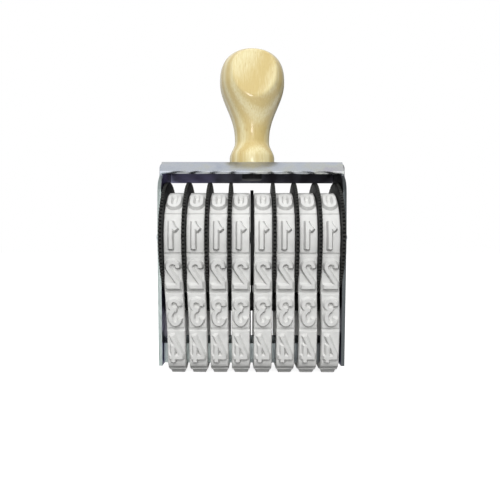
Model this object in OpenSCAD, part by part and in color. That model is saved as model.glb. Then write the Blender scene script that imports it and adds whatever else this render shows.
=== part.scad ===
// Eight-band numbering hand stamp: a bent sheet frame with a turned wooden handle carries eight
// thumb wheels on one axle, and each wheel drives a rubber band of raised digits round a saddle.
// X runs along the axle, -Y is the side the user reads, +Z points up through the handle.
// The origin is the middle of the printing face, on the faces of the lowest digits.

/* [Bands] */
// Width of one rubber band
band_w = 6.2; // [5.2:0.1:9]
// Thickness of the band under its digits
band_t = 1.5; // [1:0.1:2]
// Height of a printed digit, measured along the band
digit_h = 10; // [8:0.5:11]
// Width of a printed digit
digit_w = 4.4; // [3:0.1:5]
// How far the digits stand out of the band
relief = 2; // [1:0.1:2.5]
// Number of cells round a band: ten digits and at least one blank
cells = 11; // [11:1:12]

/* [Wheels] */
// Radius of the smooth drum that carries the band
drum_r = 12.5; // [10:0.5:15]
// Radius over the teeth of the thumb rim
rim_r = 20; // [18.5:0.5:24]
// Thickness of the thumb rim
rim_t = 1; // [0.8:0.05:1.5]
// Depth of the teeth of the thumb rim
tooth_h = 0.7; // [0.4:0.1:1]
// Number of teeth on the thumb rim
teeth = 96; // [48:4:120]
// Radius of the disc between the left and the right group of wheels
divider_r = 17.2; // [16.5:0.1:18]
// Thickness of that disc
divider_t = 0.8; // [0.6:0.05:0.9]

/* [Axle and tie rod] */
// Height of the axle over the printing face
axle_h = 47.6; // [39:0.1:60]
// Radius of the axle
axle_r = 2; // [1.5:0.1:2.6]
// Radius of the domed caps on the axle's ends
cap_r = 3.5; // [2.9:0.1:5]
// How far a cap stands out of the side plate
cap_h = 2.6; // [2:0.1:2.8]
// Radius of the tie rod under the wheels
tie_r = 1.5; // [1:0.1:2]
// How far the tie rod stands behind the axle
tie_back = 4; // [0:0.1:4.5]
// Outer radius of the spacer tube on the tie rod
tube_r = 3.4; // [2.5:0.1:4]

/* [Frame] */
// Thickness of the frame's sheet
sheet_t = 1.2; // [0.8:0.1:1.6]
// Room between the thumb rims and the frame's top face
roof_gap = 6; // [5.5:0.1:9]
// Half the depth of the flat top
top_half = 8.7; // [8.5:0.1:9.5]
// Half the depth of the side plates at their widest
side_half = 12.4; // [12:0.1:15]
// How far a top lip runs forward
lip_run = 3.7; // [2.5:0.1:4.5]
// Outer bend radius between the top and the side plates
bend_r = 2.2; // [1.8:0.1:3]
// Radius of the shoulders on the front and back edges of the side plates
shoulder_r = 6; // [5.5:0.1:7]
// How far the side plates reach past the saddle's flanges
plate_lap = 1.4; // [0.5:0.1:2.5]
// How far the side plates reach below the saddle's underside
plate_drop = 0.3; // [0:0.05:1]

/* [Saddle] */
// Half the depth of the saddle that the bands run round
saddle_half = 7.6; // [6:0.1:9]
// Outer corner radius of the saddle
saddle_r = 2.4; // [1.8:0.1:3]
// Height of the saddle's front and back flanges
saddle_h = 7.5; // [5:0.1:10]
// Half the depth of the tabs that hold the saddle in the side plates
tab_half = 4; // [2:0.1:4.5]

/* [Handle] */
// Height of the wooden handle over the frame
handle_h = 41.4; // [35:0.1:50]
// Height of the knob's widest ring over the frame
belly_h = 29.95; // [25:0.05:33]
// Height of the neck over the frame
neck_h = 8.55; // [6:0.05:12]
// Height over which the foot stays at its full width
foot_h = 2.5; // [1.5:0.1:4]
// Largest radius of the knob
knob_r = 11.65; // [10:0.05:14]
// Radius of the neck
neck_r = 6.2; // [5:0.1:8]
// Radius of the foot
foot_r = 8.1; // [7:0.1:8.5]
// Distance from the handle's centre to the thumb flat, at the knob's widest ring
flat_at = 9; // [8:0.1:9.5]
// Lean of the thumb flat
flat_lean = 6.7; // [0:0.1:12]

/* [Handle screw] */
// Radius of the screw
screw_r = 2; // [1.5:0.1:2.5]
// How deep the screw reaches into the handle
screw_in = 22.8; // [15:0.1:25]
// Half the width of its hexagonal head, across the flats
head_half = 3.5; // [3:0.1:4]
// Thickness of its head
head_t = 2.8; // [2:0.1:2.8]
// Radius of its washer
washer_r = 4.5; // [3.5:0.1:6]
// Thickness of its washer
washer_t = 0.8; // [0.5:0.1:1.2]

/* [Hidden] */
$fn = 96;

bands = 8;
digits = 10;
blank_cell = 6;        // the cell that carries no digit, counted up the front from the bottom
eps = 0.01;            // lap of shapes that are joined
past = 1;              // how far a cutting shape reaches past what it cuts

// Clearances
drum_gap = 0.3;        // drum to the inside of the band
band_gap = 0.1;        // edge of the band to the rim beside it
wheel_gap = 0.2;       // end of a drum to the rim next to it
bore_gap = 0.06;       // wheel bore round the axle, radial
wall_gap = 0.35;       // outermost rim to the side plate
shim_gap = 0.1;        // end washer to the outermost rim
seat_gap = 0.05;       // parts that seat in each other
tube_gap = 0.5;        // spacer tube to the thumb rims

// Along the axle, measured outwards from the middle of a band
rim_in = band_w / 2 + band_gap;
rim_out = rim_in + rim_t;
drum_end = band_w / 2;
pitch = drum_end + rim_out + wheel_gap;

// Inside and outside faces of the side plates
wall_in = (bands - 1) / 2 * pitch + rim_out + wall_gap;
wall_out = wall_in + sheet_t;

// Heights
saddle_z = relief + band_t;
roof_z = axle_h + rim_r + roof_gap;
tie_z = axle_h - sqrt(pow(rim_r + tube_gap + tube_r, 2) - pow(tie_back, 2));
screw_seat_z = roof_z - sheet_t - washer_t;

// Slope of the frame's lips, and the room between a lip and the shoulder under it
lip_slope = 45;
lip_drop = lip_run * tan(lip_slope);
lip_room = 1;
lip_half = wall_out - 0.8;

// The band's inner line: a drum circle and two saddle corners joined by straight runs
seat_r = drum_r + drum_gap;
corner_y = saddle_half - saddle_r;
corner_z = saddle_z + saddle_r;
rise = axle_h - corner_z;
reach = norm([corner_y, rise]);
run_lean = asin((seat_r - saddle_r) / reach) - atan(corner_y / rise);
run_l = sqrt(reach * reach - pow(seat_r - saddle_r, 2));
corner_end = corner_y + saddle_r * (90 - run_lean) * PI / 180;
run_end = corner_end + run_l;
half_loop = run_end + seat_r * (90 + run_lean) * PI / 180;
cell = 2 * half_loop / cells;

// Point of the front half of the loop, s along the inner line from the bottom centre
function front_point(s, out) =
    s < corner_y ? [-s, saddle_z - out] :
    s < corner_end ? let (a = (s - corner_y) / saddle_r * 180 / PI)
        [-corner_y, corner_z] - (saddle_r + out) * [sin(a), cos(a)] :
    s < run_end ? [-corner_y, corner_z] - (saddle_r + out) * [cos(run_lean), sin(run_lean)]
        + (s - corner_end) * [-sin(run_lean), cos(run_lean)] :
    let (a = (s - run_end) / seat_r * 180 / PI - run_lean)
        [0, axle_h] + (seat_r + out) * [-cos(a), sin(a)];

// Point of the whole loop, mirrored for its back half
function loop_point(s, out) =
    let (t = (s + 2 * half_loop) % (2 * half_loop))
    t <= half_loop ? front_point(t, out) :
    let (p = front_point(2 * half_loop - t, out)) [-p[0], p[1]];

// Places along the front half where its outline needs a point: evenly spaced steps round the
// saddle's corner and round the drum, with the straight run between them
corner_steps = 6;
drum_steps = 18;
front_stops = concat(
    [for (i = [0 : corner_steps]) corner_y + (corner_end - corner_y) * i / corner_steps],
    [for (i = [0 : drum_steps]) run_end + (half_loop - run_end) * i / drum_steps]
);

// Radius of the turned handle at height z over the frame
dome_power = 2.55;     // fullness of the dome: 2 is an ellipse, more is squarer
swell_power = 1.165;   // above 1 the neck keeps slim for longer under the knob
function wave(t) = 0.5 - 0.5 * cos(180 * t);
function dome(t) = pow(max(0, 1 - pow(t, dome_power)), 1 / dome_power);
function handle_r(z) =
    z > belly_h ? knob_r * dome((z - belly_h) / (handle_h - belly_h)) :
    z > neck_h ? neck_r + (knob_r - neck_r) * wave(pow((z - neck_h) / (belly_h - neck_h), swell_power)) :
    z > foot_h ? neck_r + (foot_r - neck_r) * wave((neck_h - z) / (neck_h - foot_h)) :
    foot_r;

// Extrudes a shape drawn in Y and Z along X, from x0 to x1
module along_x(x0, x1) {
    translate([x0, 0, 0])
        rotate([90, 0, 90])
            linear_extrude(height = x1 - x0)
                children();
}

// A round rod or disc along X, centred on the height z
module rod_x(r, x0, x1, z) {
    translate([x0, 0, z])
        rotate([0, 90, 0])
            cylinder(r = r, h = x1 - x0);
}

// The area inside the band's inner line, grown outwards by out
module loop_area(out) {
    front = [for (s = front_stops) front_point(s, out)];
    back = [for (i = [len(front) - 2 : -1 : 0]) [-front[i][0], front[i][1]]];
    polygon(concat(front, back));
}

// The block of the digit in cell k, counted up the front from the bottom
module digit_area(k) {
    steps = 8;
    from = k * cell - digit_h / 2;
    inner = [for (i = [0 : steps]) loop_point(from + digit_h * i / steps, band_t / 2)];
    outer = [for (i = [steps : -1 : 0]) loop_point(from + digit_h * i / steps, band_t + relief)];
    polygon(concat(inner, outer));
}

// Rubber band number n, with a raised block for each digit
module band(n) {
    x = (n - (bands + 1) / 2) * pitch;
    color("gainsboro") {
        along_x(x - band_w / 2, x + band_w / 2)
            difference() {
                loop_area(band_t);
                loop_area(0);
            }
        for (k = [0 : digits])
            if (k != blank_cell)
                along_x(x - digit_w / 2, x + digit_w / 2)
                    digit_area(k);
    }
}

// Outline of the toothed thumb rim. A corner is a share of a tooth's step and of its depth.
module rim_outline() {
    step = 360 / teeth;
    corners = [[0, 0], [0.2, 0], [0.4, 1], [0.8, 1]];
    polygon([
        for (i = [0 : teeth - 1])
            for (c = corners)
                (rim_r - tooth_h * (1 - c[1])) * [cos((i + c[0]) * step), sin((i + c[0]) * step)]
    ]);
}

// Thumb wheel number n: a drum with its toothed rim on the side away from the middle
module wheel(n) {
    x = (n - (bands + 1) / 2) * pitch;
    color("dimgray")
        translate([x, 0, axle_h])
            mirror([x < 0 ? 1 : 0, 0, 0])
                difference() {
                    union() {
                        rod_x(drum_r, -drum_end, rim_in + eps, 0);
                        along_x(rim_in, rim_out)
                            rim_outline();
                    }
                    rod_x(axle_r + bore_gap, -drum_end - past, rim_out + past, 0);
                }
}

// Outline of a side plate, wide at the axle and narrower at its foot, with rounded shoulders
module side_outline() {
    shoulder_z = roof_z - lip_drop - lip_room - shoulder_r;
    edge = concat(
        [[saddle_half + plate_lap, saddle_z - plate_drop], [side_half, axle_h]],
        [for (a = [0 : 15 : 60])
            [side_half - shoulder_r * (1 - cos(a)), shoulder_z + shoulder_r * sin(a)]],
        [[top_half, shoulder_z + shoulder_r], [top_half, roof_z]]
    );
    back = [for (i = [len(edge) - 1 : -1 : 0]) [-edge[i][0], edge[i][1]]];
    polygon(concat(edge, back));
}

// Area under an arch with rounded top corners
module arch_area(half, top, r) {
    for (side = [-1, 1])
        translate([side * (half - r), top - r])
            circle(r = r);
    translate([-half, 0])
        square([2 * half, top - r]);
    translate([-(half - r), 0])
        square([2 * (half - r), top]);
}

// Sloping lip along the edge of the top
module lip() {
    down = sheet_t * tan(lip_slope / 2);
    along_x(-lip_half, lip_half)
        polygon([
            [top_half - eps, roof_z],
            [top_half, roof_z],
            [top_half + lip_run, roof_z - lip_drop],
            [top_half + lip_run - sheet_t * sin(lip_slope), roof_z - lip_drop - sheet_t * cos(lip_slope)],
            [top_half - down, roof_z - sheet_t],
            [top_half - down - eps, roof_z - sheet_t]
        ]);
}

// Bent sheet with a top and two side plates, drilled for what it carries
module frame() {
    reach_x = wall_out + past;
    reach_y = side_half + past;
    color("silver")
        difference() {
            union() {
                intersection() {
                    translate([0, reach_y, 0])
                        rotate([90, 0, 0])
                            linear_extrude(height = 2 * reach_y)
                                difference() {
                                    arch_area(wall_out, roof_z, bend_r);
                                    arch_area(wall_in, roof_z - sheet_t, bend_r - sheet_t);
                                }
                    along_x(-reach_x, reach_x)
                        side_outline();
                }
                lip();
                mirror([0, 1, 0])
                    lip();
            }
            rod_x(axle_r + seat_gap, -reach_x, reach_x, axle_h);
            translate([0, tie_back, 0])
                rod_x(tie_r + seat_gap, -reach_x, reach_x, tie_z);
            translate([0, 0, roof_z - sheet_t - past])
                cylinder(r = screw_r + seat_gap, h = sheet_t + 2 * past);
            translate([-reach_x, -tab_half - seat_gap, saddle_z - seat_gap])
                cube([2 * reach_x, 2 * (tab_half + seat_gap), sheet_t + 2 * seat_gap]);
        }
}

// Area of the saddle's channel with rounded lower corners
module channel_area(half, low, r) {
    top = saddle_z + saddle_h;
    for (side = [-1, 1])
        translate([side * (half - r), low + r])
            circle(r = r);
    translate([-half, low + r])
        square([2 * half, top - low - r]);
    translate([-(half - r), low])
        square([2 * (half - r), top - low]);
}

// Channel that the bands run round, with a tab through a slot in each side plate
module saddle() {
    half = saddle_half - seat_gap;
    corner = saddle_r + 2 * seat_gap;
    end = wall_in - seat_gap;
    color("darkgray") {
        along_x(-end, end)
            difference() {
                channel_area(half, saddle_z, corner);
                channel_area(half - sheet_t, saddle_z + sheet_t, corner - sheet_t);
            }
        translate([-wall_out, -tab_half, saddle_z])
            cube([2 * wall_out, 2 * tab_half, sheet_t]);
    }
}

// Round rod that the wheels turn on, held at its ends by the caps
module axle() {
    end = wall_out + cap_h / 2;
    color("gray")
        rod_x(axle_r, -end, end, axle_h);
}

// Domed push-on caps that keep the axle in the side plates
module axle_caps() {
    ball_r = (cap_r * cap_r + cap_h * cap_h) / (2 * cap_h);
    color("silver")
        for (side = [0, 1])
            mirror([side, 0, 0])
                translate([wall_out, 0, axle_h])
                    rotate([0, 90, 0])
                        rotate_extrude()
                            difference() {
                                intersection() {
                                    translate([0, cap_h - ball_r])
                                        circle(r = ball_r);
                                    square([cap_r + past, cap_h + past]);
                                }
                                translate([-past, -past])
                                    square([past + axle_r, past + cap_h / 2]);
                            }
}

// Thin washers between the outermost wheels and the side plates
module end_washers() {
    shim_w = 2;
    color("silver")
        for (side = [0, 1])
            mirror([side, 0, 0])
                difference() {
                    rod_x(axle_r + shim_w, wall_in - wall_gap + shim_gap, wall_in, axle_h);
                    rod_x(axle_r + seat_gap, 0, wall_in + past, axle_h);
                }
}

// Rod that holds the side plates at their distance
module tie_rod() {
    color("gray")
        translate([0, tie_back, 0])
            rod_x(tie_r, -wall_out, wall_out, tie_z);
}

// Black tube on the tie rod, between the side plates
module spacer_tube() {
    end = wall_in - seat_gap;
    color("black")
        translate([0, tie_back, 0])
            difference() {
                rod_x(tube_r, -end, end, tie_z);
                rod_x(tie_r + seat_gap, -wall_out, wall_out, tie_z);
            }
}

// Disc with a wider bead round its edge, between the two groups of wheels. A fork at the end of
// its tongue straddles the spacer tube and keeps it from turning.
module divider_disc() {
    bead_h = 0.5;
    prong_w = 1.4;
    fork_r = tube_r + prong_w;
    bead_half = (pitch - band_w) / 2 - band_gap;
    color("black")
        difference() {
            union() {
                rod_x(divider_r, -divider_t / 2, divider_t / 2, axle_h);
                along_x(-divider_t / 2, divider_t / 2)
                    hull() {
                        translate([0, axle_h - divider_r + fork_r])
                            circle(r = fork_r);
                        translate([tie_back, tie_z + fork_r])
                            circle(r = fork_r);
                        translate([tie_back - fork_r, tie_z])
                            square([2 * fork_r, fork_r]);
                    }
                difference() {
                    rod_x(divider_r, -bead_half, bead_half, axle_h);
                    rod_x(divider_r - bead_h, -bead_half - past, bead_half + past, axle_h);
                }
            }
            rod_x(axle_r, -bead_half - past, bead_half + past, axle_h);
            translate([0, tie_back, 0])
                rod_x(tube_r + seat_gap, -bead_half - past, bead_half + past, tie_z);
        }
}

// Turned knob with a thumb flat towards the user
module handle() {
    rings = 46;
    foot_edge = 0.3;
    color("burlywood")
        translate([0, 0, roof_z])
            difference() {
                rotate_extrude()
                    polygon(concat(
                        [[0, 0], [foot_r - foot_edge, 0], [foot_r, foot_edge]],
                        [for (i = [1 : rings - 1])
                            let (z = foot_h + (handle_h - foot_h) * sin(90 * i / rings))
                            [handle_r(z), z]],
                        [[0, handle_h]]
                    ));
                translate([0, -flat_at, belly_h])
                    rotate([-flat_lean, 0, 0])
                        translate([-knob_r, -knob_r, -handle_h])
                            cube([2 * knob_r, knob_r, 2 * handle_h]);
                translate([0, 0, -past])
                    cylinder(r = screw_r, h = past + screw_in);
            }
}

// Screw with a hexagonal head, up through the top into the handle
module handle_screw() {
    color("gray") {
        translate([0, 0, screw_seat_z - eps])
            cylinder(r = screw_r, h = washer_t + sheet_t + screw_in);
        translate([0, 0, screw_seat_z - head_t])
            rotate([0, 0, 30])
                cylinder(r = head_half / cos(30), h = head_t, $fn = 6);
    }
}

// Washer between the screw's head and the frame's top
module handle_washer() {
    color("silver")
        translate([0, 0, screw_seat_z])
            difference() {
                cylinder(r = washer_r, h = washer_t);
                translate([0, 0, -past])
                    cylinder(r = screw_r + seat_gap, h = washer_t + 2 * past);
            }
}

frame();
saddle();
axle();
axle_caps();
end_washers();
tie_rod();
spacer_tube();
divider_disc();
handle();
handle_screw();
handle_washer();
wheel(1);  // wheel_1
wheel(2);  // wheel_2
wheel(3);  // wheel_3
wheel(4);  // wheel_4
wheel(5);  // wheel_5
wheel(6);  // wheel_6
wheel(7);  // wheel_7
wheel(8);  // wheel_8
band(1);  // band_1
band(2);  // band_2
band(3);  // band_3
band(4);  // band_4
band(5);  // band_5
band(6);  // band_6
band(7);  // band_7
band(8);  // band_8
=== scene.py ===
"""Finishes an eight-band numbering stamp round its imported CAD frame.

The frame gives the places and the main sizes. This file adds the rubber bands with their digits, the
turned handle, softened edges on the sheet metal, the wheels and the small parts, and every material.
All lengths are in metres. X runs along the axle, -Y is the reader's side and +Z points up.
"""

import math

import bmesh
import bpy
import numpy as np
from bpy.props import FloatProperty, FloatVectorProperty, PointerProperty
from bpy.types import Operator, Panel, PropertyGroup
from mathutils import Matrix, Vector


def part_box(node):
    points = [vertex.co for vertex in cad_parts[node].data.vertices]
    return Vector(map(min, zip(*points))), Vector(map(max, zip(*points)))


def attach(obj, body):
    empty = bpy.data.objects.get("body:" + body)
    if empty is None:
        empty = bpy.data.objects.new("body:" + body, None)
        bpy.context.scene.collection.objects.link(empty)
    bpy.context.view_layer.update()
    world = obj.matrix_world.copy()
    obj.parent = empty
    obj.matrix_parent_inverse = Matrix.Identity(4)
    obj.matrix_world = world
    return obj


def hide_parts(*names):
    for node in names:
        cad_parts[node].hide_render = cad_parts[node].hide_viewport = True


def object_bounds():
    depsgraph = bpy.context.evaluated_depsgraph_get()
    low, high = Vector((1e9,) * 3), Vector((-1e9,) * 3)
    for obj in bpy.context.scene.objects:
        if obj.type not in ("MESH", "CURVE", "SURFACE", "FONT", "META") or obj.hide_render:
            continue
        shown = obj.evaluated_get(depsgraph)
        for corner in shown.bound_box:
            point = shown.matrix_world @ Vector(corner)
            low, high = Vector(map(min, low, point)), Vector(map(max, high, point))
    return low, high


bl_info = {
    "name": "Numbering Stamp",
    "version": (1, 0, 0),
    "blender": (4, 5, 0),
    "location": "3D View > Sidebar > Stamp",
    "description": "Finishes an eight-band numbering stamp round its CAD frame",
    "category": "Object",
}

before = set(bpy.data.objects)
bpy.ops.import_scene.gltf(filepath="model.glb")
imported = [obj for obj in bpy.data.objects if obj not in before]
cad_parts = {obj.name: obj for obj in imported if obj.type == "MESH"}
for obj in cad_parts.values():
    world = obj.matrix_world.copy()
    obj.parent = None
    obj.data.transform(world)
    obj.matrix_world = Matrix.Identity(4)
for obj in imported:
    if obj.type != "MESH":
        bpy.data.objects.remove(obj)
CAD_LOW, CAD_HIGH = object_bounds()

MM = 0.001
# A distance that is longer than any on the stamp
FAR = 1.0
# The body that everything but the thumb wheels rides on
STAND = "stamp"
BANDS = 8
# Ten digits and a blank round a band, counted from the cell on the saddle towards the front
CELLS = 11
LOWEST_DIGIT = 5
BLANK_CELL = 6
CELL_ROWS = 80
# How far the bands hang aside at their lower end, in millimetres, from band 1 to band 8
SWAY_FRONT = (0.5, 0.45, 0.2, 0.0, 0.0, 0.25, 0.45, 0.6)
SWAY_BACK = (-0.3, 0.35, 0.3, 0.45, -0.45, -0.1, -0.35, 0.25)


# ---------------------------------------------------------------- sizes taken from the frame

def box_size(node):
    """Extent of a CAD node along X, Y and Z."""
    low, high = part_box(node)
    return high - low


def box_middle(node):
    """Middle of a CAD node's box."""
    low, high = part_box(node)
    return (low + high) / 2


AXLE_Z = box_middle("axle").z
RIM_R = box_size("wheel_1").z / 2
BAND_W = box_size("band_1").x
BAND_REACH = box_size("band_1").y / 2
ROOF_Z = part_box("frame")[1].z
WALL_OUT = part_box("frame")[1].x
SADDLE_HALF = box_size("saddle").y / 2
HANDLE_H = box_size("handle").z
KNOB_R = box_size("handle").x / 2


# ---------------------------------------------------------------- colours

def linear(colour):
    """Turns a colour written as sRGB hex, such as "#DCDCDA", to linear red, green and blue."""
    shares = [int(colour[i:i + 2], 16) / 255 for i in (1, 3, 5)]
    return [c / 12.92 if c <= 0.04045 else ((c + 0.055) / 1.055) ** 2.4 for c in shares]


def solid(colour):
    """The same with an alpha of 1, as a shader's colour input takes it."""
    return (*linear(colour), 1.0)


# ---------------------------------------------------------------- settings that a user would change

class BandSettings(PropertyGroup):
    """Sizes of the rubber bands and their digits."""

    thickness: FloatProperty(
        name="Band thickness", description="Rubber under the digits",
        default=2.25 * MM, unit="LENGTH", subtype="DISTANCE")
    relief: FloatProperty(
        name="Relief", description="How far a digit stands out of its band",
        default=1.25 * MM, unit="LENGTH", subtype="DISTANCE")
    face_height: FloatProperty(
        name="Digit height", description="Height of a digit's printing face",
        default=9.4 * MM, unit="LENGTH", subtype="DISTANCE")
    face_width: FloatProperty(
        name="Digit width", description="Width of a digit's printing face",
        default=4.4 * MM, unit="LENGTH", subtype="DISTANCE")
    stroke: FloatProperty(
        name="Stroke", description="Width of a digit's strokes",
        default=1.1 * MM, unit="LENGTH", subtype="DISTANCE")
    draft: FloatProperty(
        name="Draft", description="How far a digit's foot spreads past its face",
        default=0.6 * MM, unit="LENGTH", subtype="DISTANCE")
    lift: FloatProperty(
        name="Lift", description="How far a digit stands above the middle of its cell",
        default=0.12 * MM, unit="LENGTH", subtype="DISTANCE")
    plinth: FloatProperty(
        name="Plinth", description="Height of the plate that each digit stands on",
        default=0.4 * MM, unit="LENGTH", subtype="DISTANCE")
    cell: FloatProperty(
        name="Cell", description="Length of band that each digit has",
        default=12.93 * MM, unit="LENGTH", subtype="DISTANCE")
    stand_off: FloatProperty(
        name="Stand-off", description="How far the band's back stands off its seat on the drum",
        default=1.15 * MM, unit="LENGTH", subtype="DISTANCE")
    cord: FloatProperty(
        name="Cord depth", description="Depth of the cords that keep the band's length, from its back",
        default=1.25 * MM, unit="LENGTH", subtype="DISTANCE")
    corner: FloatProperty(
        name="Saddle corner", description="Inner radius of the band round the saddle's corners",
        default=2.4 * MM, unit="LENGTH", subtype="DISTANCE")
    rubber: FloatVectorProperty(
        name="Rubber", description="Colour of the bands",
        default=linear("#DEDEDC"), size=3, min=0, max=1, subtype="COLOR")


class HandleSettings(PropertyGroup):
    """Sizes and colours of the turned handle."""

    belly: FloatProperty(
        name="Belly height", description="Height of the knob's widest ring over the frame",
        default=29.95 * MM, unit="LENGTH", subtype="DISTANCE")
    neck: FloatProperty(
        name="Neck height", description="Height of the neck over the frame",
        default=8.55 * MM, unit="LENGTH", subtype="DISTANCE")
    neck_radius: FloatProperty(
        name="Neck radius", description="Radius of the neck",
        default=6.2 * MM, unit="LENGTH", subtype="DISTANCE")
    foot: FloatProperty(
        name="Foot height", description="Height over which the foot stays at its full width",
        default=2.5 * MM, unit="LENGTH", subtype="DISTANCE")
    foot_radius: FloatProperty(
        name="Foot radius", description="Radius of the foot",
        default=8.1 * MM, unit="LENGTH", subtype="DISTANCE")
    flat_at: FloatProperty(
        name="Thumb flat", description="Distance from the axis to the thumb flat at the widest ring",
        default=9.0 * MM, unit="LENGTH", subtype="DISTANCE")
    flat_lean: FloatProperty(
        name="Flat lean", description="Backward lean of the thumb flat",
        default=math.radians(6.7), unit="ROTATION", subtype="ANGLE")
    flat_turn: FloatProperty(
        name="Flat turn", description="Turn of the thumb flat about the handle's axis",
        default=math.radians(6), unit="ROTATION", subtype="ANGLE")
    pale: FloatVectorProperty(
        name="Pale wood", description="Colour of the early wood under the lacquer",
        default=linear("#D6CCA0"), size=3, min=0, max=1, subtype="COLOR")
    dark: FloatVectorProperty(
        name="Dark wood", description="Colour of the late wood under the lacquer",
        default=linear("#BFAA6E"), size=3, min=0, max=1, subtype="COLOR")


class MetalSettings(PropertyGroup):
    """Edge sizes and colours of the metal and plastic parts."""

    sheet_edge: FloatProperty(
        name="Sheet edge", description="Rounding of the frame's deburred edges",
        default=0.42 * MM, unit="LENGTH", subtype="DISTANCE")
    small_edge: FloatProperty(
        name="Small edge", description="Rounding of the edges of the small metal parts",
        default=0.12 * MM, unit="LENGTH", subtype="DISTANCE")
    tooth_edge: FloatProperty(
        name="Tooth edge", description="Rounding of the edges of the thumb rims' teeth",
        default=0.08 * MM, unit="LENGTH", subtype="DISTANCE")
    zinc: FloatVectorProperty(
        name="Zinc", description="Colour of the bright zinc",
        default=linear("#C6CBD3"), size=3, min=0, max=1, subtype="COLOR")
    plastic: FloatVectorProperty(
        name="Plastic", description="Colour of the moulded black plastic",
        default=linear("#0A0A0B"), size=3, min=0, max=1, subtype="COLOR")


class StageSettings(PropertyGroup):
    """Camera and studio."""

    distance: FloatProperty(
        name="Camera distance", description="Distance from the lens to the axle's plane",
        default=176 * MM, unit="LENGTH", subtype="DISTANCE")
    height: FloatProperty(
        name="Camera height", description="Height of the lens over the table",
        default=43.2 * MM, unit="LENGTH", subtype="DISTANCE")
    aside: FloatProperty(
        name="Camera offset", description="How far the lens stands to the left of the middle",
        default=0.65 * MM, unit="LENGTH", subtype="DISTANCE")
    roll: FloatProperty(
        name="Camera roll", description="Turn of the camera about its line of sight",
        default=math.radians(-0.1), unit="ROTATION", subtype="ANGLE")
    focal: FloatProperty(
        name="Focal length", description="Focal length on a sensor 36 mm wide",
        default=34.85, min=1, unit="CAMERA")
    key: FloatProperty(
        name="Key light", description="Power of the softbox above the camera",
        default=3.2, min=0, unit="POWER")
    spark: FloatProperty(
        name="Small light", description="Power of the softbox behind the camera, which the lacquer shows",
        default=0.9, min=0, unit="POWER")


# ---------------------------------------------------------------- nodes

def add(tree, kind, inputs=None, stops=(), **settings):
    """Adds a node with its settings. inputs gives values or sockets to link; stops fills a colour ramp."""
    node = tree.nodes.new(kind)
    for name, value in settings.items():
        setattr(node, name, value)
    for key, value in (inputs or {}).items():
        if isinstance(value, bpy.types.NodeSocket):
            tree.links.new(value, node.inputs[key])
        else:
            node.inputs[key].default_value = value
    for i, (position, colour) in enumerate(stops):
        ramp = node.color_ramp.elements
        stop = ramp[i] if i < len(ramp) else ramp.new(position)
        stop.position = position
        stop.color = colour
    return node


def new_material(name):
    """A node material of that name, its node tree, and the piece's own coordinates, in metres."""
    material = bpy.data.materials.new(name)
    material.use_nodes = True
    tree = material.node_tree
    tree.nodes.clear()
    return material, tree, add(tree, "ShaderNodeTexCoord").outputs["Object"]


def finished(material, relief, strength, depth, surface):
    """Ends a material: relief of that strength and depth, a shader with the surface's values, output."""
    tree = material.node_tree
    bump = add(tree, "ShaderNodeBump", {"Height": relief, "Strength": strength, "Distance": depth})
    shader = add(tree, "ShaderNodeBsdfPrincipled", {"Normal": bump.outputs["Normal"], **surface})
    add(tree, "ShaderNodeOutputMaterial", {"Surface": shader.outputs["BSDF"]})
    return material


def per(size):
    """Scale of a texture whose features are about that size, in metres."""
    return 1 / size


def grey(value):
    """A grey for a colour ramp."""
    return (value, value, value, 1.0)


# ---------------------------------------------------------------- materials

def bright_zinc_sheet(colour):
    """Steel sheet, bright zinc plated and passivated: pale blue-grey soft mirror, faint rolling lines."""
    material, tree, place = new_material("bright_zinc_sheet")
    # The passivation film varies in thickness over some millimetres, which shifts its tint
    film = add(tree, "ShaderNodeTexNoise", {"Vector": place, "Scale": per(9 * MM), "Detail": 3.0})
    tint = add(tree, "ShaderNodeValToRGB", {"Fac": film.outputs["Fac"]}, stops=(
        (0.25, solid("#B4BCCB")), (0.5, (*colour, 1.0)), (0.62, solid("#C9CCC8")), (0.8, solid("#BDB9CC"))))
    # Rolling lines run along X. The real ones are finer; these are drawn 0.25 mm apart so that they show
    lines = add(tree, "ShaderNodeMapping", {
        "Vector": place, "Scale": (per(30 * MM), per(0.25 * MM), per(0.25 * MM))})
    rolled = add(tree, "ShaderNodeTexNoise", {
        "Vector": lines.outputs["Vector"], "Scale": 1.0, "Detail": 2.0})
    # Handling leaves faint cloudy patches
    cloud = add(tree, "ShaderNodeTexNoise", {"Vector": place, "Scale": per(3 * MM), "Detail": 5.0})
    rough = add(tree, "ShaderNodeMapRange", {
        "Value": cloud.outputs["Fac"], "From Min": 0.3, "From Max": 0.7, "To Min": 0.15, "To Max": 0.27})
    return finished(material, rolled.outputs["Fac"], 0.12, 0.02 * MM, {
        "Base Color": tint.outputs["Color"], "Metallic": 1.0, "Roughness": rough.outputs["Result"]})


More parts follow.
